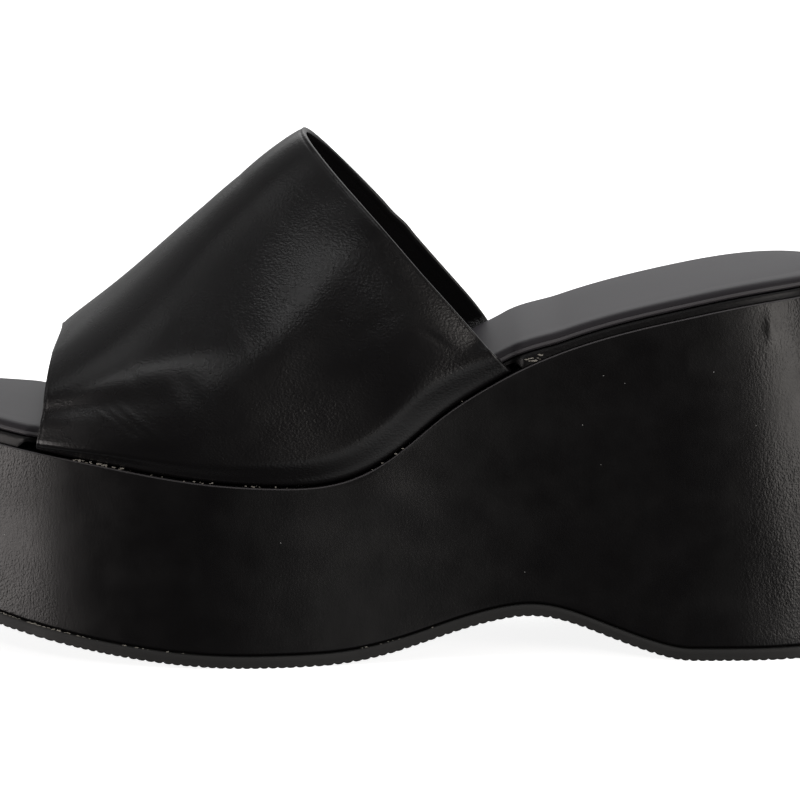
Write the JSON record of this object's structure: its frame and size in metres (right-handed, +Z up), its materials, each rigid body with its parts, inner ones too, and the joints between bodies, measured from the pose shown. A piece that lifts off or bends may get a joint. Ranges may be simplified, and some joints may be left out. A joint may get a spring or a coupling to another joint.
{
  "type": "platform slipper",
  "caption": "Backless platform mule with a covered wedge heel, padded insole and one wide closed strap over the forefoot, open at the toe and heel.",
  "frame": {"origin": "middle of the shoe's bounding box, on the floor that it stands on", "axes": "+X from toe to heel, +Y towards the inner side of the foot, +Z up"},
  "size_m": [0.2576, 0.0914, 0.1366],
  "materials": {
    "outsole_rubber": "satin black moulded rubber with a fine cross ripple",
    "wedge_cover": "smooth black imitation leather with a fine grain",
    "rand_cover": "smooth black imitation leather",
    "insole_cover": "soft matte black imitation leather",
    "upper_cover": "semi-matte black imitation leather with a fine grain, black textile lining"
  },
  "bodies": {
    "root": {"outsole": "outsole_rubber", "platform_wedge": "wedge_cover", "footbed_rand": "rand_cover", "insole": "insole_cover", "upper": "upper_cover"}
  },
  "joints": []
}
